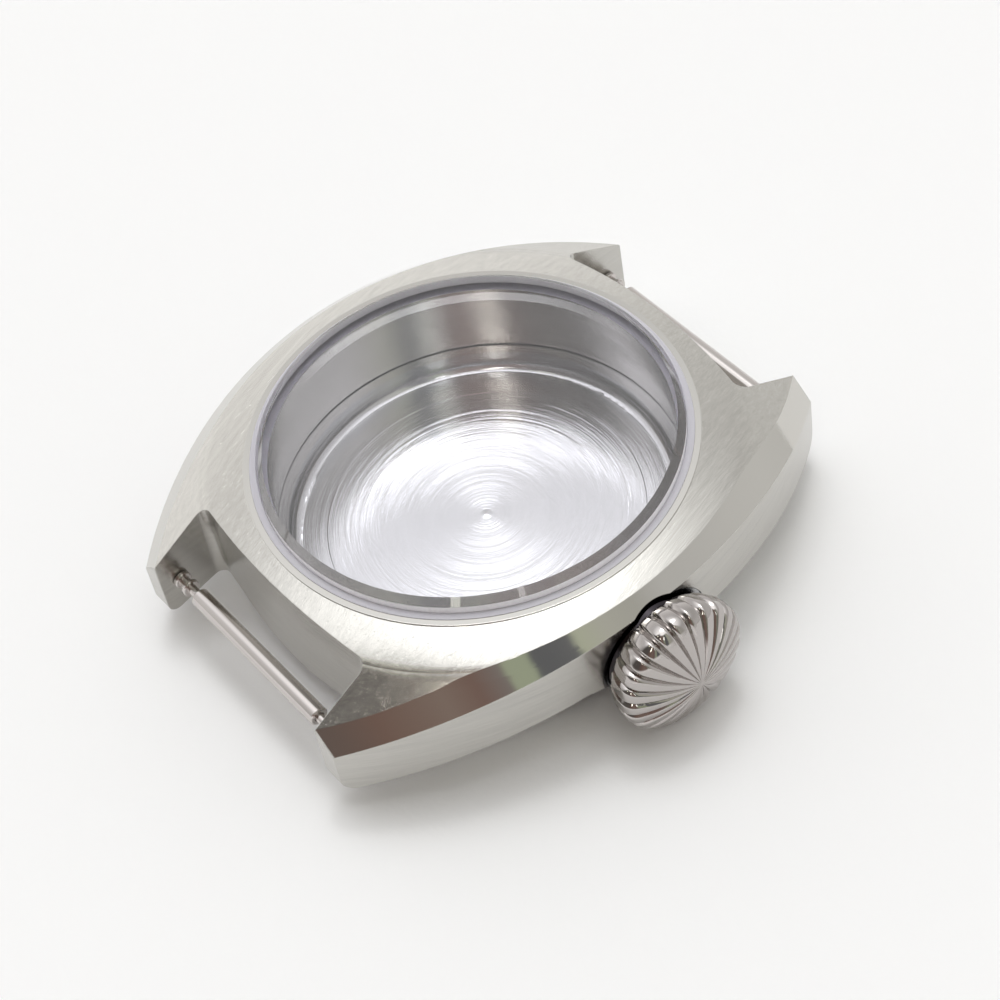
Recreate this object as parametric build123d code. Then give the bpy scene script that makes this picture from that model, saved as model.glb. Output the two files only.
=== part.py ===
from build123d import *
import math
import os

os.makedirs("parts", exist_ok=True)

# An empty wristwatch case, in millimetres. The origin is the middle of the case back's underside.
# +Z points up through the crystal, +X to the crown at 3 o'clock, +Y to the 12 o'clock lugs.

# Bores of the case, from the crystal's seat outwards and down
seat_radius = 16.5
seat_ledge = 1.3               # width of the ledge under the crystal
bore_relief = 0.6              # movement bore beyond the ledge's own bore
thread_land = 0.8              # width of the shoulder over the case back
boss_wall = 1.6
boss_flare = 34.0              # degrees from the vertical

# Plan of the case
case_wall = 3.5                # crystal seat to the flank at 3 o'clock
end_wall = 1.9                 # crystal seat to the middle of the wall between the lugs
end_wall_radius = 56.0
slot_corner_radius = 0.8
lug_length = 4.5               # from the end wall to the lug tips
lug_gap = 20.0                 # strap width
lug_tip_width = 1.7775

# Heights of the case
boss_height = 1.7              # lowest face of the case
thread_depth = 1.9             # boss to the shoulder over the case back
seat_height = 10.4             # ledge that the crystal rests on
ledge_thickness = 2.5
lip_rise = 1.4                 # polished lip above that ledge
flank_foot = 5.2               # bottom of the flank at 3 and 9 o'clock
lug_drop = 2.95                # how far the underside falls to the lug tips

# Turned top and milled edge
lip_land = 0.5                 # flat width of the polished lip
lip_step = 0.12                # the lip stands this much above the cone round it
inner_slope = 16.1             # degrees, from the lip to the break
inner_cone = 3.3               # width of that cone
break_blend = 4.0
outer_slope = 30.5             # degrees, over the lugs
crease_drop = 1.65             # lip to the crease of chamfer and flank, at 3 and 9 o'clock
crease_fall = 24.5             # degrees, fall of that crease towards the lugs
chamfer_slope = 40.4           # degrees
lug_toe_radius = 0.8           # rounding under each lug tip
lug_brow_radius = 0.25         # rounding over each lug tip

# Crystal and its gasket
crystal_thickness = 2.5
crystal_gasket_wall = 0.55
crystal_bevel_width = 0.6
crystal_bevel_drop = 0.45
gasket_stand = 0.04            # how far the gasket stands above the lip

# Case back
back_rim_setback = 0.9         # the boss reaches this much beyond the rim
back_foot_setback = 3.3        # rim to the flat foot
back_rim_relief = 0.5          # the rim stands this much off the table
back_floor_rise = 0.1          # inner face of the plate above the boss
back_collar_gap = 0.1          # collar to the shoulder of the case
back_collar_wall = 1.55
thread_clearance = 0.1
lapped_margin = 2.65           # collar's bore to the lapped circle
lapped_step = 0.06
centre_mark_radius = 0.45
collar_root_radius = 0.8
notch_count = 6
notch_width = 2.6
notch_depth = 0.5              # along the axis
notch_reach = 1.7              # along the radius

# Case back gasket
groove_setoff = 0.4            # collar to the middle of the groove
gasket_wire_radius = 0.22
groove_clearance = 0.02

# Crown, tube and their seal
tube_cover = 0.7               # steel between the tube's hole and the case back's shoulder
crown_recess_radius = 4.85
crown_recess_depth = 0.5
crown_gap = 0.2                # crown's back face to the recess floor
collar_play = 0.3              # collar to the side of the recess
crown_brow = 0.87              # widest place beyond the collar
crown_length = 4.94
crown_dome = 2.44              # widest place to the apex
shoulder_radius = 1.3          # rounding between the collar and the widest place
flute_count = 24
flute_radius = 0.3
flute_depth = 0.26
flute_fade = 0.05              # the groove has left the surface by this much at the apex
flute_share = 0.85             # how far along the dome the groove's bead runs
tube_shank_radius = 1.25
tube_radius = 1.5
tube_bore_radius = 0.95
tube_stand = 2.8               # tube's length outside the recess floor
crown_bore_clearance = 0.06
crown_bore_end_gap = 0.2
seal_wire_radius = 0.32
seal_clearance = 0.03
seal_depth = 0.65              # back face to the seal groove
washer_radius = 2.6
washer_thickness = 0.4
washer_bore_clearance = 0.08
post_radius = 0.8
post_length = 4.5
stem_hole_radius = 0.45
stem_hole_depth = 2.5

# Spring bars
bar_setoff = 2.8               # bar's axis from the middle of the end wall
bar_height = 5.3
bar_tube_radius = 0.75
bar_tube_wall = 0.2
bar_mouth_radius = 0.42        # crimped mouth of the tube
bar_mouth_length = 0.5
lug_hole_radius = 0.45
lug_hole_depth = 1.2
pin_tip_play = 0.05            # pin tip to the side of its hole
pin_tip_reach = 0.8            # into the lug
pin_lug_gap = 0.05
pin_flange_radius = 0.72
pin_flange_width = 0.4
pin_waist_radius = 0.46
pin_waist_width = 0.65
pin_neck_width = 0.95
pin_shaft_play = 0.04          # pin's shaft to the crimped mouth
pin_head_play = 0.05           # pin's head to the tube's bore
pin_head_width = 0.5
pin_tail = 2.55                # tube mouth to the pin's head
pin_edge_break = 0.08

# Springs inside the bars
spring_wire_radius = 0.09
spring_coil_radius = 0.36
spring_turns = 14
spring_end_gap = 0.12          # spring to the head of each pin

overrun = 1.0                  # cutters run past what they cut by this much
snap = 0.01                    # an edge this near a plane lies in it

half_width = seat_radius + case_wall
end_wall_reach = seat_radius + end_wall
half_length = end_wall_reach + lug_length
tip_taper = half_width - lug_gap / 2 - lug_tip_width
outline_radius = (half_length**2 + tip_taper**2) / (2 * tip_taper)
flank_centre = outline_radius - half_width
lip_edge = seat_radius + lip_land
break_radius = lip_edge + inner_cone
rehaut_radius = seat_radius - seat_ledge
bore_radius = rehaut_radius + bore_relief
thread_radius = bore_radius + thread_land
boss_radius = thread_radius + boss_wall
shoulder_height = boss_height + thread_depth
rehaut_foot = seat_height - ledge_thickness
lip_height = seat_height + lip_rise
crease_height = lip_height - crease_drop
crystal_radius = seat_radius - crystal_gasket_wall
back_rim_radius = boss_radius - back_rim_setback
back_foot_radius = back_rim_radius - back_foot_setback
back_floor = boss_height + back_floor_rise
back_collar_height = shoulder_height - back_collar_gap
back_collar_radius = thread_radius - thread_clearance
back_collar_bore = back_collar_radius - back_collar_wall
lapped_radius = back_collar_bore - lapped_margin
groove_radius = back_collar_radius + groove_setoff
crown_height = shoulder_height + tube_cover + tube_shank_radius
recess_floor = half_width - crown_recess_depth
crown_back = recess_floor + crown_gap
collar_radius = crown_recess_radius - collar_play
crown_radius = collar_radius + crown_brow
crown_apex = crown_back + crown_length
crown_equator = crown_apex - crown_dome
tube_reach = recess_floor + tube_stand
crown_bore_end = tube_reach + crown_bore_end_gap
post_reach = crown_bore_end - post_length
bar_reach = end_wall_reach + bar_setoff
pin_tip_radius = lug_hole_radius - pin_tip_play
pin_shaft_radius = bar_mouth_radius - pin_shaft_play
pin_head_radius = bar_tube_radius - bar_tube_wall - pin_head_play


def rise(angle):
    """Height gained per unit of length on a slope of this many degrees."""
    return math.tan(math.radians(angle))


def disc(radius, low, high):
    """An upright cylinder about Z between two heights."""
    return Pos(0, 0, low) * Cylinder(radius, high - low, align=(Align.CENTER, Align.CENTER, Align.MIN))


def shaft(radius, near, far, height=crown_height):
    """A cylinder along X at 3 o'clock between two distances from the centre."""
    rod = Cylinder(radius, far - near, align=(Align.CENTER, Align.CENTER, Align.MIN))
    return Pos(near, 0, height) * Rot(0, 90, 0) * rod


def turned(points):
    """A solid of revolution about Z from (radius, height) points."""
    outline = Polyline([(radius, 0, height) for radius, height in points], close=True)
    return revolve(make_face(outline), Axis.Z)


def flank_x(y):
    """Half width of the case at a distance y from its middle."""
    return math.sqrt(outline_radius**2 - y**2) - flank_centre


def plan_prism(low, high):
    """The case's outline seen from above, as an upright prism."""
    right = Pos(-flank_centre, 0) * Circle(outline_radius)
    left = Pos(flank_centre, 0) * Circle(outline_radius)
    plan = right & left & Rectangle(2 * half_width, 2 * half_length)
    return Pos(0, 0, low) * extrude(plan, amount=high - low)


def top_form():
    """The turned top: a raised flat lip, a shallow cone, a soft break and a steeper cone over the lugs."""
    cone_height = lip_height - lip_step
    break_height = cone_height - (break_radius - lip_edge) * rise(inner_slope)
    rim = half_length + half_width / 4
    rim_height = break_height - (rim - break_radius) * rise(outer_slope)
    corners = [(0, 0), (0, lip_height), (lip_edge, lip_height), (lip_edge, cone_height),
               (break_radius, break_height), (rim, rim_height), (rim, 0)]
    profile = make_face(Polyline([(x, 0, z) for x, z in corners], close=True))
    at_break = profile.vertices().sort_by_distance((break_radius, 0, break_height))[0]
    return revolve(fillet(at_break, break_blend), Axis.Z)


def chamfer_cutter():
    """What the milled edge takes off the 3 o'clock side: straight rulings that lean in, square to Y."""
    lean = rise(chamfer_slope)
    spread = 1 + rise(crease_fall) / lean
    stations = 8
    reach = half_length + overrun
    places = [reach * (2 * i / stations - 1) for i in range(stations + 1)]
    edge_points = [(half_width + spread * (flank_x(y) - half_width), y) for y in places]
    clear = 2 * half_width
    crease = Spline(edge_points)
    frame_side = Polyline([edge_points[-1], (clear, reach), (clear, -reach), edge_points[0]])
    face = make_face(crease + frame_side)
    height = half_width / 2
    ruling = Vector(1, 0, -lean).normalized()
    length = height / abs(ruling.Z)
    top = Pos(0, 0, crease_height) * extrude(face, amount=length, dir=-ruling)
    foot = Pos(0, 0, crease_height) * extrude(face, amount=length, dir=ruling)
    return top + foot


def underside_cutter():
    """A cylinder along X that hollows the underside, so the lugs reach down towards the wrist."""
    radius = (half_length**2 + lug_drop**2) / (2 * lug_drop)
    return Pos(0, 0, flank_foot - radius) * Rot(0, 90, 0) * Cylinder(radius, 2 * (half_width + overrun))


def boss():
    """The flared ring under the case that the case back closes."""
    top = flank_foot + overrun
    spread = (top - boss_height) * rise(boss_flare)
    flare = turned([(0, boss_height), (boss_radius, boss_height), (boss_radius + spread, top), (0, top)])
    return flare & plan_prism(boss_height, top)


def slot_cutter():
    """The strap space between the 12 o'clock lugs, with a wall that bulges towards the strap."""
    half_gap = lug_gap / 2
    sag = end_wall_radius - math.sqrt(end_wall_radius**2 - half_gap**2)
    near = end_wall_reach - sag
    far = half_length + overrun
    wall = ThreePointArc((-half_gap, near), (0, end_wall_reach), (half_gap, near))
    sides = Polyline((half_gap, near), (half_gap, far), (-half_gap, far), (-half_gap, near))
    plan = make_face(wall + sides)
    inner = plan.vertices().sort_by(Axis.Y)[:2]
    return extrude(fillet(inner, slot_corner_radius), amount=lip_height + overrun)


def lug_holes():
    """Blind holes for the pins of one spring bar, in the inner faces of the 12 o'clock lugs."""
    length = lug_gap + 2 * lug_hole_depth
    return Pos(0, bar_reach, bar_height) * Rot(0, 90, 0) * Cylinder(lug_hole_radius, length)


def case_bores():
    """The stepped bore from the crystal seat down to the case back's thread."""
    return turned([
        (0, boss_height - overrun), (thread_radius, boss_height - overrun),
        (thread_radius, shoulder_height), (bore_radius, shoulder_height),
        (bore_radius, rehaut_foot), (rehaut_radius, rehaut_foot),
        (rehaut_radius, seat_height), (seat_radius, seat_height),
        (seat_radius, lip_height + overrun), (0, lip_height + overrun),
    ])


def lug_end_edges(case, low):
    """The edges across the lug tips, at their foot or at their brow."""
    ends = case.edges().filter_by(lambda e: abs(abs(e.center().Y) - half_length) < snap)
    ends = ends.filter_by(lambda e: abs(e.tangent_at(0.5).X) > abs(e.tangent_at(0.5).Z))
    middle = flank_foot - lug_drop / 2
    return ends.filter_by(lambda e: (e.center().Z < middle) == low)


def mid_case():
    """Case middle with its four lugs, in one piece of steel."""
    case = plan_prism(0, lip_height) & top_form()
    side = chamfer_cutter()
    case = case - side - mirror(side, Plane.YZ)
    case = case - underside_cutter() + boss()
    slot = slot_cutter()
    case = case - slot - mirror(slot, Plane.XZ)
    case = fillet(lug_end_edges(case, True), lug_toe_radius)
    case = fillet(lug_end_edges(case, False), lug_brow_radius)
    case -= case_bores()
    holes = lug_holes()
    case = case - holes - mirror(holes, Plane.XZ)
    case -= shaft(crown_recess_radius, recess_floor, half_width + overrun)
    return case - shaft(tube_shank_radius, rehaut_radius - overrun, half_width)


def crystal():
    """Flat crystal, proud of the lip, with a bevel round its top."""
    top = seat_height + crystal_thickness
    return turned([
        (0, seat_height), (crystal_radius, seat_height), (crystal_radius, top - crystal_bevel_drop),
        (crystal_radius - crystal_bevel_width, top), (0, top),
    ])


def crystal_gasket():
    """Thin ring pressed between the crystal and its seat."""
    top = lip_height + gasket_stand
    return disc(seat_radius, seat_height, top) - disc(crystal_radius, seat_height, top)


def case_back():
    """Screwed back: plate, rim, threaded collar, gasket groove and notches for the key."""
    floor = back_floor - lapped_step
    body = turned([
        (0, 0), (back_foot_radius, 0), (back_foot_radius + back_rim_relief, back_rim_relief),
        (back_rim_radius, back_rim_relief), (back_rim_radius, boss_height),
        (back_collar_radius, boss_height), (back_collar_radius, back_collar_height),
        (back_collar_bore, back_collar_height), (back_collar_bore, back_floor),
        (lapped_radius, back_floor), (lapped_radius - lapped_step, floor),
        (centre_mark_radius, floor), (0, back_floor),
    ])
    root = body.edges().filter_by(GeomType.CIRCLE).sort_by_distance((back_collar_bore, 0, back_floor))[0]
    body = fillet(root, collar_root_radius)
    half_groove = gasket_wire_radius + groove_clearance
    groove = disc(groove_radius + half_groove, boss_height - 2 * half_groove, boss_height)
    groove -= disc(groove_radius - half_groove, boss_height - 2 * half_groove, boss_height)
    body -= groove
    notch = Box(2 * notch_reach, notch_width, back_rim_relief + notch_depth,
                align=(Align.CENTER, Align.CENTER, Align.MIN))
    for turn in range(notch_count):
        body -= Rot(0, 0, 360 * turn / notch_count) * Pos(back_rim_radius, 0) * notch
    return body


def case_back_gasket():
    """Round rubber ring in the case back's groove."""
    height = boss_height - gasket_wire_radius - groove_clearance
    return Pos(0, 0, height) * Torus(groove_radius, gasket_wire_radius)


def crown_tube():
    """Tube pressed into the case wall; the crown's seal runs on its outer end."""
    tube = shaft(tube_shank_radius, bore_radius, recess_floor) + shaft(tube_radius, recess_floor, tube_reach)
    return tube - shaft(tube_bore_radius, bore_radius, tube_reach)


def crown_arcs(stand, apex):
    """The crown's outline at a distance outside its rim: one arc round the rim, one over the dome."""
    rim_centre = crown_radius - shoulder_radius
    rim_bend = shoulder_radius + stand
    length = apex - crown_equator
    dome_bend = (rim_centre**2 + length**2 - rim_bend**2) / (2 * (length - rim_bend))
    dome_centre = apex - dome_bend
    meet = math.degrees(math.atan2(rim_centre, crown_equator - dome_centre))
    collar = math.degrees(math.acos((collar_radius - rim_centre) / shoulder_radius)) + 90
    rim = CenterArc((crown_equator, rim_centre), rim_bend, collar, meet - collar)
    dome = CenterArc((dome_centre, 0), dome_bend, meet, -meet)
    return rim, dome


def crown_profile():
    """Half section of the crown about X: collar, rounded rim and a domed face."""
    rim, dome = crown_arcs(0, crown_apex)
    foot = rim @ 0
    base = Polyline((foot.X, foot.Y), (crown_back, collar_radius), (crown_back, 0), (crown_apex, 0))
    return make_face(rim + dome + base)


def flute_cutter():
    """One groove of the crown: a round bead that follows the rim and leaves the dome near the apex."""
    rim, dome = crown_arcs(flute_radius - flute_depth, crown_apex + flute_radius + flute_fade)
    path = Wire([rim.edge(), dome.edge().trim(0, flute_share)])
    section = Plane(origin=path @ 0, z_dir=path % 0) * Circle(flute_radius)
    return sweep(section, path)


def crown():
    """Fluted crown with its bore, seal groove, washer seat and the tapped post for the winding stem."""
    step = 360 / flute_count
    to_land = Rot(step / 2, 0, 0)
    flute = flute_cutter()
    body = to_land * revolve(crown_profile(), Axis.X)
    body -= [Rot(step * turn, 0, 0) * flute for turn in range(flute_count)]
    body = Pos(0, 0, crown_height) * to_land * body
    groove_near = crown_back + seal_depth
    groove_far = groove_near + 2 * (seal_wire_radius + seal_clearance)
    body -= shaft(tube_radius + crown_bore_clearance, crown_back, crown_bore_end)
    body -= shaft(tube_radius + 2 * (seal_wire_radius + seal_clearance), groove_near, groove_far)
    body -= shaft(washer_radius, crown_back, groove_near)
    body += shaft(post_radius, post_reach, crown_bore_end)
    return body - shaft(stem_hole_radius, post_reach, post_reach + stem_hole_depth)


def crown_seal():
    """Rubber ring inside the crown, running on the tube."""
    middle = crown_back + seal_depth + seal_wire_radius + seal_clearance
    ring = Torus(tube_radius + seal_clearance + seal_wire_radius, seal_wire_radius)
    return Pos(middle, 0, crown_height) * Rot(0, 90, 0) * ring


def crown_washer():
    """Steel washer pressed into the crown's mouth, behind the rubber ring."""
    far = crown_back + seal_depth
    near = far - washer_thickness
    return shaft(washer_radius, near, far) - shaft(tube_radius + washer_bore_clearance, near, far)


def bar_tube():
    """Thin tube of a spring bar, crimped in at both mouths, about X at the origin."""
    half = pin_neck_end()
    bore = bar_tube_radius - bar_tube_wall
    lip = bar_tube_wall / 2
    quarter = [
        (bar_mouth_radius, half), (bar_tube_radius - lip, half), (bar_tube_radius, half - lip),
        (bar_tube_radius, 0), (bore, 0), (bore, half - bar_mouth_length),
        (bar_mouth_radius, half - lip),
    ]
    end = Rot(0, 90, 0) * turned(quarter)
    return end + mirror(end, Plane.YZ)


def pin_neck_end():
    """Distance from the bar's middle to the tube's mouth."""
    return (lug_gap / 2 - pin_lug_gap - 2 * pin_flange_width - pin_waist_width - pin_neck_width)


def bar_pin():
    """Right-hand pin of a spring bar: tip, two flanges, neck, shaft and head, about X at the origin."""
    face = lug_gap / 2
    flange = face - pin_lug_gap
    waist = flange - pin_flange_width
    second = waist - pin_waist_width
    neck = second - pin_flange_width
    head = pin_neck_end() - pin_tail
    b = pin_edge_break
    return Rot(0, 90, 0) * turned([
        (0, face + pin_tip_reach), (pin_tip_radius - b, face + pin_tip_reach),
        (pin_tip_radius, face + pin_tip_reach - b), (pin_tip_radius, flange),
        (pin_flange_radius - b, flange), (pin_flange_radius, flange - b),
        (pin_flange_radius, waist + b), (pin_flange_radius - b, waist),
        (pin_waist_radius, waist), (pin_waist_radius, second),
        (pin_flange_radius - b, second), (pin_flange_radius, second - b),
        (pin_flange_radius, neck + b), (pin_flange_radius - b, neck),
        (pin_shaft_radius, neck), (pin_shaft_radius, head),
        (pin_head_radius, head), (pin_head_radius, head - pin_head_width), (0, head - pin_head_width),
    ])


def spring_length():
    """Room for the spring between the heads of the two pins."""
    return 2 * (pin_neck_end() - pin_tail - pin_head_width - spring_end_gap - spring_wire_radius)


def helix_point(turn):
    """Point and unit tangent of the spring's centre line after this many turns."""
    pitch = spring_length() / spring_turns
    angle = 2 * math.pi * turn
    around = spring_coil_radius * 2 * math.pi
    point = Vector((turn / spring_turns - 0.5) * spring_length(),
                   spring_coil_radius * math.cos(angle), spring_coil_radius * math.sin(angle))
    tangent = Vector(pitch, -around * math.sin(angle), around * math.cos(angle)).normalized()
    return point, tangent


def biarc(start, start_way, end, end_way):
    """Two arcs that leave one point and reach the next along their tangents."""
    chord = end - start
    ways = start_way + end_way
    bend = 2 * (1 - start_way.dot(end_way))
    along = chord.dot(ways)
    reach = (math.sqrt(along**2 + bend * chord.dot(chord)) - along) / bend
    joint = (start + start_way * reach + end - end_way * reach) / 2
    joint_way = (end - end_way * reach - start - start_way * reach).normalized()
    return [Edge.make_tangent_arc(start, start_way, joint), Edge.make_tangent_arc(joint, joint_way, end)]


def bar_spring():
    """Compression spring of a spring bar: one unbroken wire wound about X at the origin."""
    arcs = []
    halves = 2 * spring_turns
    for half in range(halves):
        arcs += biarc(*helix_point(half / 2), *helix_point((half + 1) / 2))
    path = Wire(arcs)
    start, way = helix_point(0)
    section = Plane(origin=start, z_dir=way) * Circle(spring_wire_radius)
    return sweep(section, path)


def spring_self_gap():
    """Least gap between neighbouring turns of the wire, measured on points of its centre line."""
    steps = 24
    points = [helix_point(i / steps)[0] for i in range(3 * steps)]
    pairs = [(p, q) for i, p in enumerate(points) for q in points[i + steps // 2:]]
    return min((p - q).length for p, q in pairs) - 2 * spring_wire_radius


def spring_bar(side):
    """The pieces of one spring bar; side is 1 at 12 o'clock and -1 at 6 o'clock."""
    place = Pos(0, side * bar_reach, bar_height)
    pin = bar_pin()
    return {
        "tube": place * bar_tube(),
        "pin_right": place * pin,
        "pin_left": place * mirror(pin, Plane.YZ),
        "spring": place * bar_spring(),
    }


pieces = {
    "mid_case": mid_case(),
    "crystal": crystal(),
    "crystal_gasket": crystal_gasket(),
    "crown_tube": crown_tube(),
    "crown": crown(),
    "crown_seal": crown_seal(),
    "crown_washer": crown_washer(),
    "case_back": case_back(),
    "case_back_gasket": case_back_gasket(),
}
for name, side in (("bar_12", 1), ("bar_6", -1)):
    for piece, shape in spring_bar(side).items():
        pieces[f"{name}_{piece}"] = shape

for node, shape in pieces.items():
    export_step(shape, f"parts/{node}.step")

print(f"least gap between the turns of a bar spring: {spring_self_gap():.2f} mm")
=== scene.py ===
import math

import bmesh
import bpy
from mathutils import Matrix, Vector


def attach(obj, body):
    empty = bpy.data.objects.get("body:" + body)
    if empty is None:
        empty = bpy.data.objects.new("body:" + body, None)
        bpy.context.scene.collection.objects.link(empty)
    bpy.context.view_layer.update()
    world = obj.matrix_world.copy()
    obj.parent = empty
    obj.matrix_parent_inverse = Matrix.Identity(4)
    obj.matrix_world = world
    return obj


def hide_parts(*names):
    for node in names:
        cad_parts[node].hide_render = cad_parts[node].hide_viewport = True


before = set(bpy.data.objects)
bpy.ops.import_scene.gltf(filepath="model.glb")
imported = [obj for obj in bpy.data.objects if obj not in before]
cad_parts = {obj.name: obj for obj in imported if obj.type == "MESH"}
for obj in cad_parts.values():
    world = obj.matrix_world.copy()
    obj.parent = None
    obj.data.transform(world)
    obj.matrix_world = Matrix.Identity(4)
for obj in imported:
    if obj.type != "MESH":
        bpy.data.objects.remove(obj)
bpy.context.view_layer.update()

# Camera
# It stands where the photograph was taken from, found by fitting the case's outline, bores and crown to
# the picture. The three directions are the picture's right, its top and the way back to the camera.
MM = 0.001
camera_place = Vector((106.68, -61.43, 152.58)) * MM
picture_right = Vector((0.63053, 0.76549, -0.12824))
picture_top = Vector((-0.54768, 0.55589, 0.62532))
picture_back = Vector((0.54996, -0.32405, 0.76976))

lens = bpy.data.cameras.new("camera")
lens.sensor_width = 36.0
lens.lens = 91.625
lens.clip_start = 10 * MM
lens.clip_end = 5.0
camera = bpy.data.objects.new("camera", lens)
bpy.context.scene.collection.objects.link(camera)
facing = Matrix((picture_right, picture_top, picture_back)).transposed()
camera.matrix_world = Matrix.Translation(camera_place) @ facing.to_4x4()
bpy.context.scene.camera = camera

# Studio
# A sheet of white paper in a light tent with one lamp high behind the case. The tent is open on the
# camera's side, and the dark opening there, with two pale strips in it, is what the milled edge mirrors.
bpy.context.scene.view_settings.view_transform = "Standard"


def put(tree, kind, feeds=None, **settings):
    """A shader node with its settings; each feed is a value or another node's output."""
    made = tree.nodes.new("ShaderNode" + kind)
    for name, value in settings.items():
        setattr(made, name, value)
    for name, value in (feeds or {}).items():
        if isinstance(value, bpy.types.NodeSocket):
            tree.links.new(value, made.inputs[name])
        else:
            made.inputs[name].default_value = value
    return made


def reckon(tree, operation, *values):
    """The output of a math node."""
    return put(tree, "Math", dict(enumerate(values)), operation=operation).outputs[0]


def times(tree, *values):
    """The product of all the values."""
    product = values[0]
    for value in values[1:]:
        product = reckon(tree, "MULTIPLY", product, value)
    return product


def ease(tree, value, low, high, kind="SMOOTHSTEP"):
    """A change from 0 to 1 as the value goes from low to high, where low may be the greater."""
    return put(tree, "MapRange", {"Value": value, "From Min": low, "From Max": high},
               interpolation_type=kind).outputs["Result"]


def band(tree, value, start, full, fade, end):
    """1 from full to fade, and 0 before the start and beyond the end."""
    return times(tree, ease(tree, value, start, full), ease(tree, value, end, fade))


def ramp(tree, value, stops):
    """A colour ramp from (position, colour) stops."""
    made = put(tree, "ValToRGB", {"Fac": value})
    while len(made.color_ramp.elements) < len(stops):
        made.color_ramp.elements.new(0.5)
    for element, (position, colour) in zip(made.color_ramp.elements, stops):
        element.position = position
        element.color = (*colour, 1)
    return made.outputs["Color"]


def mix_colours(tree, share, first, second):
    """Two colours mixed by a share; each is an output or three values."""
    made = put(tree, "Mix", data_type="RGBA")
    sockets = {socket.identifier: socket for socket in made.inputs}
    tree.links.new(share, sockets["Factor_Float"])
    for name, colour in (("A_Color", first), ("B_Color", second)):
        if isinstance(colour, bpy.types.NodeSocket):
            tree.links.new(colour, sockets[name])
        else:
            sockets[name].default_value = (*colour, 1)
    return next(socket for socket in made.outputs if socket.identifier == "Result_Color")


def plain(name, colour, rough):
    """A material of one colour and roughness, its node tree and its shader."""
    made = bpy.data.materials.new(name)
    made.use_nodes = True
    skin = made.node_tree.nodes["Principled BSDF"]
    skin.inputs["Base Color"].default_value = (*colour, 1)
    skin.inputs["Roughness"].default_value = rough
    return made, made.node_tree, skin


tent = bpy.data.worlds.new("light_tent")
bpy.context.scene.world = tent
tent.use_nodes = True
sky = tent.node_tree
toward = put(sky, "TexCoord").outputs["Generated"]
axes = put(sky, "SeparateXYZ", {0: toward}).outputs
height = axes["Z"]
bearing = reckon(sky, "DEGREES", reckon(sky, "ARCTAN2", axes["Y"], axes["X"]))


def patch(way, rise, inner, outer):
    """1 within the inner angle of a bearing from +X and a rise over the horizon, 0 beyond the outer one."""
    flat = math.cos(math.radians(rise))
    middle = Vector((flat * math.cos(math.radians(way)), flat * math.sin(math.radians(way)),
                     math.sin(math.radians(rise))))
    near = put(sky, "VectorMath", {0: toward, 1: middle}, operation="DOT_PRODUCT").outputs["Value"]
    return ease(sky, near, math.cos(math.radians(outer)), math.cos(math.radians(inner)))


def upright(middle, half):
    """1 within half a width of a bearing, on a tall strip that stops short of the zenith."""
    low, high = middle - half, middle + half
    return times(sky, band(sky, height, 0.73, 0.76, 0.88, 0.92),
                 band(sky, bearing, low - 1, low, high, high + 1))


cloth = ramp(sky, height, [
    (0.0, (0.46, 0.455, 0.45)), (0.2, (0.49, 0.485, 0.48)), (0.36, (0.46, 0.455, 0.45)),
    (0.6, (0.36, 0.355, 0.35)), (0.72, (0.36, 0.358, 0.358)), (0.8, (0.52, 0.52, 0.525)),
    (0.9, (0.76, 0.765, 0.77)), (1.0, (0.82, 0.825, 0.83))])
dark_left, dark_right = -120, 30
dark_side = ramp(sky, ease(sky, bearing, dark_left, dark_right, "LINEAR"), [
    (0.0, (0.06, 0.057, 0.053)), (0.3, (0.06, 0.053, 0.05)), (0.42, (0.1, 0.066, 0.055)),
    (0.52, (0.125, 0.095, 0.082)), (0.58, (0.105, 0.07, 0.06)), (0.635, (0.115, 0.1, 0.095)),
    (0.645, (0.19, 0.21, 0.155)), (0.69, (0.19, 0.21, 0.155)), (0.7, (0.07, 0.071, 0.075)),
    (0.785, (0.062, 0.063, 0.068)), (0.805, (0.25, 0.265, 0.2)), (0.87, (0.26, 0.26, 0.225)),
    (1.0, (0.22, 0.215, 0.195))])
opening = times(sky, band(sky, bearing, -140, -112, 20, 34), band(sky, height, 0.08, 0.24, 0.955, 0.99))
mirrored = mix_colours(sky, opening, cloth, dark_side)
for share, colour in (
        (patch(-105, 66, 1, 3.5), (1.3, 1.3, 1.05)),                      # cream card beside the opening
        (times(sky, patch(70, 12, 35, 80), 0.62), (0.22, 0.218, 0.21)),   # duller cloth beyond the crown
        (patch(150, 71, 6, 15), (2.2, 2.22, 2.25)),                       # cloth lit up round the lamp
        (upright(-56, 2.0), (3.0, 2.95, 2.6)),                            # two strips of light that streak
        (upright(-20, 1.3), (1.9, 1.9, 1.85)),                            # the far wall of the bore
        (patch(131, 72, 3.2, 4.2), (6.5, 6.5, 6.5))):                     # the lamp
    mirrored = mix_colours(sky, share, mirrored, colour)
seen = put(sky, "LightPath").outputs["Is Camera Ray"]
behind_sheet = (0.5, 0.5, 0.5)
sheet_light = sky.nodes["Background"]
sky.links.new(mix_colours(sky, seen, mirrored, behind_sheet), sheet_light.inputs["Color"])
sheet_light.inputs["Strength"].default_value = 2.32

paper, tree, skin = plain("white_paper", (0.985, 0.988, 0.995), 0.9)
fibres = put(tree, "TexNoise", {"Vector": put(tree, "TexCoord").outputs["Object"], "Scale": 900.0,
                                "Detail": 3.0})
grain = put(tree, "Bump", {"Height": fibres.outputs[0], "Distance": 0.03 * MM})
tree.links.new(grain.outputs[0], skin.inputs["Normal"])

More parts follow.
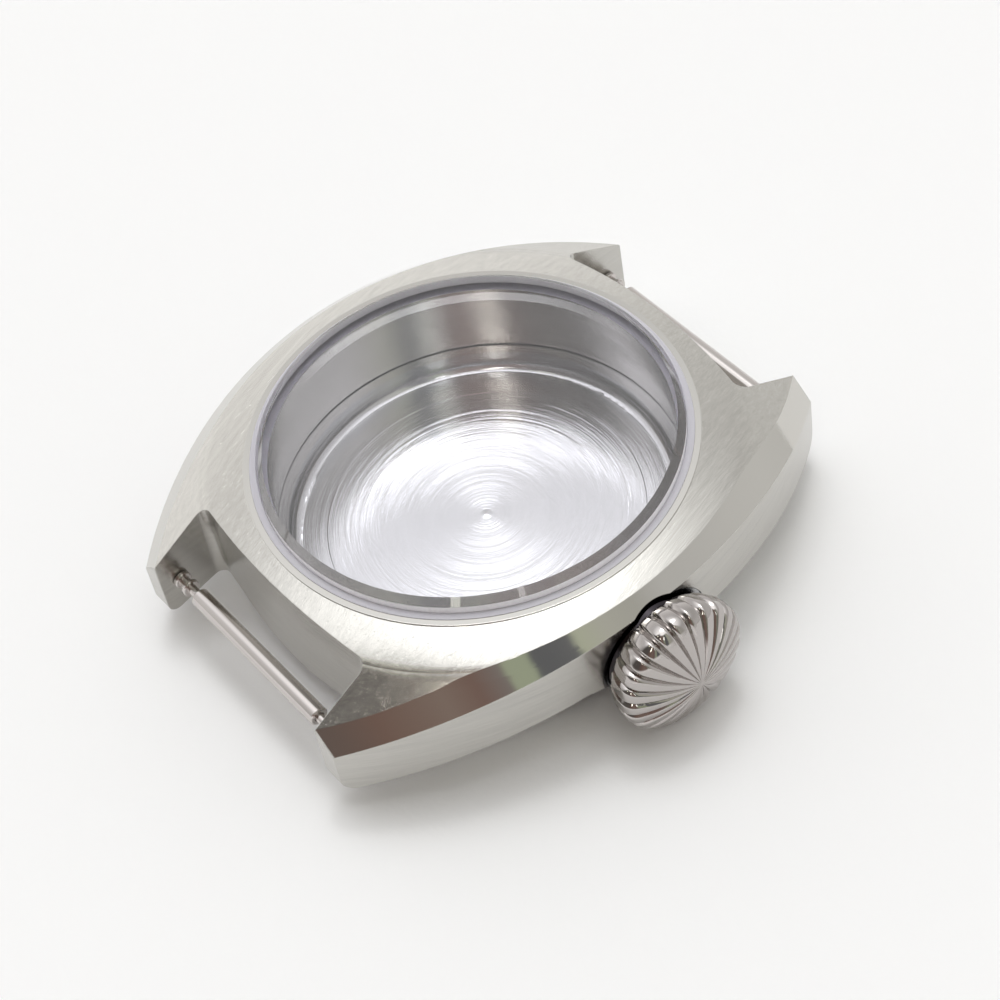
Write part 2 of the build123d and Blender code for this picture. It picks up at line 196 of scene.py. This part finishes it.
sheet_reach = 1.5
shape = bmesh.new()
bmesh.ops.create_grid(shape, x_segments=2, y_segments=2, size=sheet_reach)
sheet_mesh = bpy.data.meshes.new("paper_sheet")
shape.to_mesh(sheet_mesh)
shape.free()
sheet_mesh.materials.append(paper)
sheet = bpy.data.objects.new("paper_sheet", sheet_mesh)
bpy.context.scene.collection.objects.link(sheet)


# Case middle with its lugs
# One block of stainless steel: the top is brushed from lug to lug, the flanks along their length, the
# milled edge and the lip round the crystal are polished, and the bores show the rings of the lathe.
def steel(name, colour, rough):
    """A bare metal material, its node tree and its shader."""
    made, tree, skin = plain(name, colour, rough)
    skin.inputs["Metallic"].default_value = 1.0
    return made, tree, skin


def finish_group(name):
    """A shader group with its vector input and its Height and Tone outputs."""
    made = bpy.data.node_groups.new(name, "ShaderNodeTree")
    made.interface.new_socket("Vector", in_out="INPUT", socket_type="NodeSocketVector")
    for socket in ("Height", "Tone"):
        made.interface.new_socket(socket, in_out="OUTPUT", socket_type="NodeSocketFloat")
    start = made.nodes.new("NodeGroupInput")
    end = made.nodes.new("NodeGroupOutput")
    return made, start.outputs["Vector"], end.inputs


def stretched(tree, vector, width, length, detail=3.0):
    """Noise drawn out along Y in lines of this width and length, in metres."""
    scaled = put(tree, "Mapping", {"Vector": vector, "Scale": (1 / width, 1 / length, 1 / width)})
    return put(tree, "TexNoise", {"Vector": scaled.outputs[0], "Scale": 1.0, "Detail": detail,
                                  "Roughness": 0.6}).outputs[0]


def pressed(tree, place, kept=(1, 1, 0), shift=(0, 0, 0)):
    """A place pressed flat along the axis that isn't kept, then shifted: a vector out from that axis."""
    return put(tree, "Mapping", {"Vector": place, "Location": shift, "Scale": kept}).outputs[0]


def size_of(tree, vector):
    """The length of a vector."""
    return put(tree, "VectorMath", {0: vector}, operation="LENGTH").outputs["Value"]


scratch_turn, scratch_depth = math.radians(7), 0.6
brush, place, ends = finish_group("brushed_grain")
fine = stretched(brush, place, 0.09 * MM, 6 * MM)
broad = stretched(brush, place, 0.4 * MM, 14 * MM)
tilted = put(brush, "Mapping", {"Vector": place, "Rotation": (0, 0, scratch_turn)}).outputs[0]
scratch = ease(brush, stretched(brush, tilted, 0.16 * MM, 3 * MM, 1.0), 0.66, 0.72)
lines = reckon(brush, "MULTIPLY_ADD", broad, 0.5, fine)
brush.links.new(reckon(brush, "MULTIPLY_ADD", scratch, -scratch_depth, lines), ends["Height"])
brush.links.new(reckon(brush, "MULTIPLY_ADD", fine, 0.5, times(brush, broad, 0.5)), ends["Tone"])

rings, place, ends = finish_group("turning_rings")
outward = pressed(rings, place)
radius = size_of(rings, outward)
round_way = put(rings, "SeparateXYZ", {
    0: put(rings, "VectorMath", {0: outward}, operation="NORMALIZE").outputs[0]}).outputs
level = put(rings, "SeparateXYZ", {0: place}).outputs["Z"]


def ring_noise(width, sweep):
    """Noise in rings of this width in metres that change sweep times round the turn."""
    spot = put(rings, "CombineXYZ", {"X": reckon(rings, "DIVIDE", radius, width),
                                     "Y": reckon(rings, "DIVIDE", level, width),
                                     "Z": times(rings, round_way["X"], sweep)})
    return put(rings, "TexNoise", {"Vector": spot.outputs[0], "W": times(rings, round_way["Y"], sweep),
                                   "Scale": 1.0, "Detail": 2.0, "Roughness": 0.55},
               noise_dimensions="4D").outputs[0]


feed_marks = ring_noise(0.16 * MM, 0.8)
chatter = ring_noise(0.3 * MM, 3.5)
rings.links.new(reckon(rings, "MULTIPLY_ADD", chatter, 0.8, feed_marks), ends["Height"])
rings.links.new(reckon(rings, "MULTIPLY_ADD", chatter, 0.6, times(rings, feed_marks, 0.4)), ends["Tone"])


def grain_of(tree, group, way):
    """The outputs of a finish group laid along a vector."""
    made = put(tree, "Group")
    made.node_tree = group
    tree.links.new(way, made.inputs["Vector"])
    return made.outputs


def pick(tree, share, first, second):
    """The first value where the share is 0, the second where it is 1."""
    return put(tree, "Mix", {0: share, 2: first, 3: second}, data_type="FLOAT").outputs[0]


lip_inside, lip_outside, lip_foot = 16.53 * MM, 17.03 * MM, 11.6 * MM
seat_inside, seat_height = 15.2 * MM, 10.4 * MM
CROWN_AXIS, recess_radius, recess_floor = 5.55 * MM, 4.87 * MM, 19.5 * MM
soft = 0.01 * MM

case_steel, tree, skin = steel("case_steel", (0.64, 0.625, 0.59), 0.3)
where = put(tree, "TexCoord").outputs
spot = put(tree, "SeparateXYZ", {0: where["Object"]}).outputs
tilt = put(tree, "SeparateXYZ", {0: where["Normal"]}).outputs
out_from_axis = size_of(tree, pressed(tree, where["Object"]))
# The parts of the normal along Z and X tell the top from the flanks and the milled edge from the top.
top_from, edge_below, edge_beyond = 0.53, 0.8, 0.225
upward = ease(tree, reckon(tree, "ABSOLUTE", tilt["Z"]), top_from - 0.03, top_from + 0.03)
milled = times(tree, upward, ease(tree, tilt["Z"], edge_below + 0.01, edge_below - 0.01),
               ease(tree, reckon(tree, "ABSOLUTE", tilt["X"]), edge_beyond - 0.025, edge_beyond + 0.025))
lip = times(tree, band(tree, out_from_axis, lip_inside - 6 * soft, lip_inside - 4 * soft, lip_outside,
                       lip_outside + soft),
            ease(tree, spot["Z"], lip_foot, lip_foot + 2 * soft))
bored = ease(tree, out_from_axis, lip_inside, lip_inside - 2 * soft)
polish = reckon(tree, "MAXIMUM", milled, lip)

top_turn, bore_stretch = math.radians(-16), 2.5
top_grain = grain_of(tree, brush, put(tree, "Mapping", {
    "Vector": where["Object"], "Rotation": (0, 0, top_turn)}).outputs[0])
flank_grain = grain_of(tree, brush, put(tree, "CombineXYZ", {
    "X": spot["Z"], "Y": reckon(tree, "ADD", spot["X"], spot["Y"])}).outputs[0])
bore_grain = grain_of(tree, rings, pressed(tree, where["Object"], kept=(0, 0, bore_stretch)))


def case_grain(name, bore_share):
    """A finish output of the case: brushed top and flanks, turned bores, plain where it is polished."""
    faces = pick(tree, upward, flank_grain[name], top_grain[name])
    return pick(tree, polish, pick(tree, bored, faces, times(tree, bore_grain[name], bore_share)), 0.5)


# The top falls away a little towards the milled edge: a swell in the bump, as deep as 0.13 mm.
swell_end, swell_depth, bump_depth, break_radius = 20.3 * MM, 0.13 * MM, 0.007 * MM, 0.07 * MM
swell = reckon(tree, "POWER", ease(tree, out_from_axis, lip_outside, swell_end, "LINEAR"), 3.0)
swell = times(tree, swell, upward, reckon(tree, "SUBTRACT", 1.0, polish), -swell_depth / bump_depth)
relief = reckon(tree, "ADD", case_grain("Height", 2.2), swell)
rounded = put(tree, "Bevel", {"Radius": break_radius}, samples=6)
bump = put(tree, "Bump", {"Height": relief, "Distance": bump_depth, "Normal": rounded.outputs[0]})
tree.links.new(bump.outputs[0], skin.inputs["Normal"])

least_rough, tone_rough, bore_rough = 0.19, 0.12, 0.45
tone = case_grain("Tone", 1.0)
rough = reckon(tree, "MULTIPLY_ADD", tone, tone_rough, least_rough)
rough = reckon(tree, "MULTIPLY_ADD", polish, -least_rough, rough)
tree.links.new(times(tree, rough, pick(tree, bored, 1.0, bore_rough)), skin.inputs["Roughness"])

# Painted shade and light: the flanks are coloured darker and the bores lighter than the top, for how light
# falls on them; the tone added to them is the steel's real grain.
flank_painted_shade, bore_painted_light = -0.26, 0.35
tone_and_painted_light = reckon(tree, "ADD", tone, pick(tree, bored, pick(tree, upward, flank_painted_shade, 0.0), bore_painted_light))
bare = ramp(tree, tone_and_painted_light, [(0.05, (0.48, 0.47, 0.445)), (0.3, (0.56, 0.547, 0.515)),
                          (0.7, (0.68, 0.665, 0.63)), (0.9, (0.76, 0.745, 0.73))])
# Painted shade: the crown's recess in the flank is coloured near black on its wall and mid grey on its
# floor, for the shade between crown and case.
off_crown = size_of(tree, pressed(tree, where["Object"], kept=(0, 1, 1), shift=(0, 0, -CROWN_AXIS)))
recess_shade_mask = times(tree, ease(tree, off_crown, recess_radius + soft, recess_radius - soft),
               ease(tree, spot["X"], recess_floor - 20 * soft, recess_floor - 10 * soft))
recess_painted_shade = mix_colours(tree, ease(tree, spot["X"], recess_floor + 6 * soft, recess_floor + 2 * soft),
                          (0.05, 0.046, 0.05), (0.5, 0.5, 0.51))
seat = times(tree, ease(tree, out_from_axis, seat_inside - soft, seat_inside + soft), bored, upward,
             band(tree, spot["Z"], seat_height - 10 * soft, seat_height - 5 * soft, seat_height + 5 * soft,
                  seat_height + 10 * soft))
white_film = (0.86, 0.84, 0.9)
tree.links.new(mix_colours(tree, seat, mix_colours(tree, recess_shade_mask, bare, recess_painted_shade), white_film),
               skin.inputs["Base Color"])
tree.links.new(reckon(tree, "SUBTRACT", 1.0, seat), skin.inputs["Metallic"])
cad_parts["mid_case"].material_slots[0].material = case_steel

# Case back
# A turned steel plate that screws in from below. Its inside is seen through the crystal and keeps the
# coarse rings of facing, which fade out in the middle over a fine lapped grain.
back_steel, tree, skin = steel("back_steel", (0.675, 0.68, 0.69), 0.2)
place = put(tree, "TexCoord").outputs["Object"]
back_rings = grain_of(tree, rings, place)
out_from_axis = size_of(tree, pressed(tree, place))
middle_share, coarse_share, coarse_start, coarse_full = 0.08, 0.42, 5 * MM, 10 * MM
lapping_width, lapping_share, least_rough, tone_rough = 0.05 * MM, 0.32, 0.08, 0.16
coarse = ease(tree, out_from_axis, coarse_start, coarse_full)
coarse = reckon(tree, "ADD", middle_share, times(tree, coarse, coarse_share))
lapping = put(tree, "TexNoise", {"Vector": put(tree, "CombineXYZ", {
    "X": reckon(tree, "DIVIDE", out_from_axis, lapping_width)}).outputs[0],
    "Scale": 1.0, "Detail": 1.0}).outputs[0]
relief = reckon(tree, "MULTIPLY_ADD", lapping, lapping_share, times(tree, back_rings["Height"], coarse))
bump = put(tree, "Bump", {"Height": relief, "Distance": 0.03 * MM})
tree.links.new(bump.outputs[0], skin.inputs["Normal"])
rough = reckon(tree, "MULTIPLY_ADD", back_rings["Tone"], tone_rough, least_rough)
tree.links.new(rough, skin.inputs["Roughness"])
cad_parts["case_back"].material_slots[0].material = back_steel


# Crystal and its gasket
# A disc of mineral glass with polished faces and bevel and a finely ground rim, in a thin translucent ring
# of white nylon. It stays 0.02 mm clear of the ring, whose facets would cut into the glass.
def turned(section, axis, steps):
    """A shape made by turning a line of points once round an axis through the origin."""
    made = bmesh.new()
    points = [made.verts.new(point) for point in section]
    edges = [made.edges.new(pair) for pair in zip(points, points[1:])]
    bmesh.ops.spin(made, geom=points + edges, cent=(0, 0, 0), axis=axis, angle=2 * math.pi, steps=steps,
                   use_merge=True)
    bmesh.ops.remove_doubles(made, verts=made.verts, dist=0.002 * MM)
    return made


def finished(made, name, sharp):
    """The piece made of a shape, smooth but for edges over the sharp angle in degrees."""
    bmesh.ops.recalc_face_normals(made, faces=made.faces)
    for face in made.faces:
        face.smooth = True
    mesh = bpy.data.meshes.new(name)
    made.to_mesh(mesh)
    made.free()
    mesh.set_sharp_from_angle(angle=math.radians(sharp))
    piece = bpy.data.objects.new(name, mesh)
    bpy.context.scene.collection.objects.link(piece)
    return piece


crystal_foot, bevel_foot, crystal_top = 10.4 * MM, 12.45 * MM, 12.9 * MM
crystal_radius, crystal_flat = 15.93 * MM, 15.35 * MM
crystal_section = [(0, 0, crystal_foot), (crystal_radius, 0, crystal_foot), (crystal_radius, 0, bevel_foot),
                   (crystal_flat, 0, crystal_top), (0, 0, crystal_top)]
crystal = finished(turned(crystal_section, axis=(0, 0, 1), steps=240), "glass_disc", sharp=20)
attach(crystal, "case")
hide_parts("crystal")

crystal_glass, tree, skin = plain("crystal_glass", (0.98, 0.974, 0.993), 0.0)
skin.inputs["IOR"].default_value = 1.52
skin.inputs["Transmission Weight"].default_value = 1.0
shadow_held = 0.08
shadow = put(tree, "LightPath").outputs["Is Shadow Ray"]
tree.links.new(reckon(tree, "MULTIPLY_ADD", shadow, shadow_held - 1.0, 1.0), skin.inputs["Alpha"])
ground_glass, tree, skin = plain("ground_glass", (0.8, 0.8, 0.8), 0.5)
pits = put(tree, "TexNoise", {"Vector": put(tree, "TexCoord").outputs["Object"], "Scale": 4000.0,
                              "Detail": 2.0})
tree.links.new(ramp(tree, pits.outputs[0], [(0.3, (0.9, 0.89, 0.94)), (0.7, (0.97, 0.96, 1.0))]),
               skin.inputs["Base Color"])
crystal.data.materials.append(crystal_glass)
crystal.data.materials.append(ground_glass)
for face in crystal.data.polygons:
    face.material_index = int(abs(face.normal.z) < 0.1)

clear_ring, tree, skin = plain("clear_ring", (0.6, 0.59, 0.64), 0.3)
skin.inputs["IOR"].default_value = 1.5
skin.inputs["Transmission Weight"].default_value = 0.1
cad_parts["crystal_gasket"].material_slots[0].material = clear_ring

# Crown
# Polished steel, turned and then fluted into 24 rounded ribs that run from the collar over the rim and
# die out before the middle of the face. Its bore, seal groove and tapped post are turned in one piece.
stem_hole_end, stem_hole_radius = 20.5 * MM, 0.45 * MM
post_foot, post_radius = 18.0 * MM, 0.8 * MM
bore_end, bore_radius = 22.5 * MM, 1.56 * MM
groove_end, groove_radius = 21.05 * MM, 2.2 * MM
washer_end, washer_radius = 20.35 * MM, 2.6 * MM
crown_back, collar_radius = 19.7 * MM, 4.55 * MM
back_bend, back_turn = 3.0 * MM, math.radians(127)
rim_middle, rim_bend, crown_radius = 22.2 * MM, 1.3 * MM, 5.42 * MM
crown_apex, apex_flat = 24.64 * MM, 0.2 * MM
rib_count, rib_steps, rib_start, rib_run_in, rib_full = 24, 24, 20.3 * MM, 0.2 * MM, 0.8
rib_depth, rib_crown, groove_share = 0.27 * MM, 0.07 * MM, 0.5

rim_out = crown_radius - rim_bend
reach = crown_apex - rim_middle
dome_bend = (rim_out**2 + reach**2 - rim_bend**2) / (2 * (reach - rim_bend))
dome_middle = crown_apex - dome_bend
meet = math.atan2(rim_out, rim_middle - dome_middle)


def arc(middle_x, middle_r, bend, start, end, steps):
    """Points (x, radius) along an arc."""
    turns = [start + (end - start) * i / steps for i in range(steps + 1)]
    return [(middle_x + bend * math.cos(a), middle_r + bend * math.sin(a)) for a in turns]


crown_section = [
    (stem_hole_end, 0), (stem_hole_end, stem_hole_radius), (post_foot, stem_hole_radius),
    (post_foot, post_radius), (bore_end, post_radius), (bore_end, bore_radius), (groove_end, bore_radius),
    (groove_end, groove_radius), (washer_end, groove_radius), (washer_end, washer_radius),
    (crown_back, washer_radius), (crown_back, collar_radius), (rib_start, collar_radius)]
crown_section += arc(rim_middle, crown_radius - back_bend, back_bend, back_turn, math.pi / 2, 12)[:-1]
crown_section += arc(rim_middle, rim_out, rim_bend, math.pi / 2, meet, 18)
crown_section += arc(dome_middle, 0, dome_bend, meet, 0, 34)[1:]

shape = turned([(x, r, 0) for x, r in crown_section], axis=(1, 0, 0), steps=rib_count * rib_steps)
margin = 0.1 * MM
for point in shape.verts:
    out = math.hypot(point.co.y, point.co.z)
    hollow = out < washer_radius + margin and point.co.x < bore_end + margin
    if point.co.x < rib_start or hollow or out < apex_flat:
        continue
    turn = math.atan2(point.co.z, point.co.y) / (2 * math.pi) * rib_count
    across = abs(2 * (turn % 1) - 1)
    fade = min(1, out / (rib_full * crown_radius)) * min(1, (point.co.x - rib_start) / rib_run_in)
    groove = rib_depth * max(0, 1 - across / groove_share) ** 1.5
    sink = fade * (groove + rib_crown * (1 - across) ** 2)
    if out > rim_out or point.co.x < rim_middle:
        centre = Vector((rim_middle, 0, 0)) + Vector((0, point.co.y, point.co.z)) * (rim_out / out)
    else:
        centre = Vector((dome_middle, 0, 0))
    point.co -= (point.co - centre).normalized() * sink
bmesh.ops.translate(shape, verts=shape.verts, vec=(0, 0, CROWN_AXIS))
crown = finished(shape, "fluted_crown", sharp=34)
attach(crown, "crown")
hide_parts("crown")

# Painted shade: the crown's collar next to the case is coloured near black, for the shade in the gap
# between crown and case.
crown_tone, collar_painted_shade, collar_end = (0.48, 0.452, 0.437), (0.05, 0.045, 0.05), 20.4 * MM
crown_steel, tree, skin = steel("crown_steel", crown_tone, 0.09)
along = put(tree, "SeparateXYZ", {0: put(tree, "TexCoord").outputs["Object"]}).outputs["X"]
collar_shade_share = ease(tree, along, collar_end + 5 * soft, collar_end - 5 * soft)
tree.links.new(mix_colours(tree, collar_shade_share, crown_tone, collar_painted_shade), skin.inputs["Base Color"])
crown.data.materials.append(crown_steel)

# Spring bars, crown tube, washer and seals
# The bars with their springs, the crown's tube and its washer are polished steel with lightly broken
# edges. The crown's seal and the case back's gasket are black rubber.
bar_steel, tree, skin = steel("bar_steel", (0.6, 0.565, 0.545), 0.14)
rounded = put(tree, "Bevel", {"Radius": 0.05 * MM}, samples=4)
tree.links.new(rounded.outputs[0], skin.inputs["Normal"])
rubber, tree, skin = plain("black_rubber", (0.02, 0.02, 0.02), 0.55)
for name in ("crown_seal", "case_back_gasket"):
    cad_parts[name].material_slots[0].material = rubber
for name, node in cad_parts.items():
    if name.startswith("bar_") or name in ("crown_tube", "crown_washer"):
        node.material_slots[0].material = bar_steel
